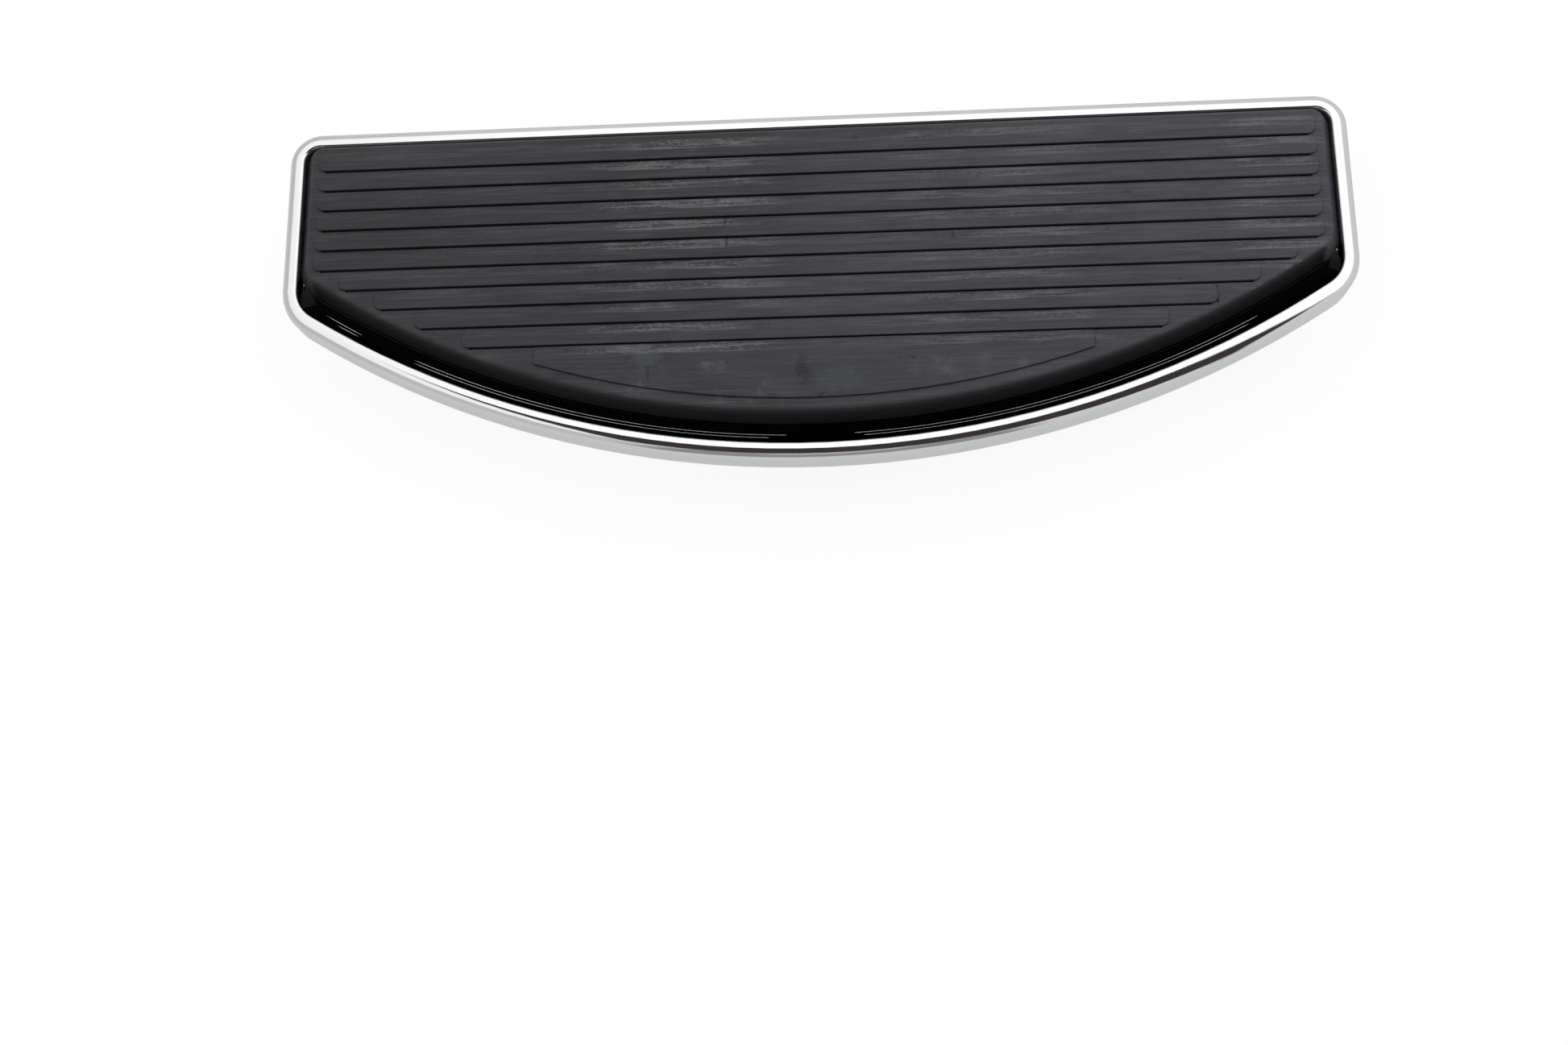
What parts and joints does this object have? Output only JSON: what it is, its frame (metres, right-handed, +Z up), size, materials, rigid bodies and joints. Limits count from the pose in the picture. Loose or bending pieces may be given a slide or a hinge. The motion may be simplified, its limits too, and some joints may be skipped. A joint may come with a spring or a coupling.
{
  "type": "motorcycle floorboard",
  "caption": "Rider's folding floorboard: D-shaped chromed pan with pivot lugs and walls below, stepped rubber tread pulled in by moulded nipples, and a screwed-in scrape peg.",
  "frame": {"origin": "on the pivot axis, midway between the two lugs", "axes": "+X along the board and the pivot axis, +Y across it towards its straight edge, +Z up through the tread"},
  "size_m": [0.348, 0.1183, 0.0335],
  "materials": {
    "pan_chrome": "bright decorative plating over a smooth die casting",
    "tread_rubber": "moulded black rubber, dull, with light scuffs",
    "peg_chrome": "bright plating over a turned steel stud"
  },
  "bodies": {
    "root": {"pan": "pan_chrome", "tread_pad": "tread_rubber", "scrape_peg": "peg_chrome"}
  },
  "joints": []
}
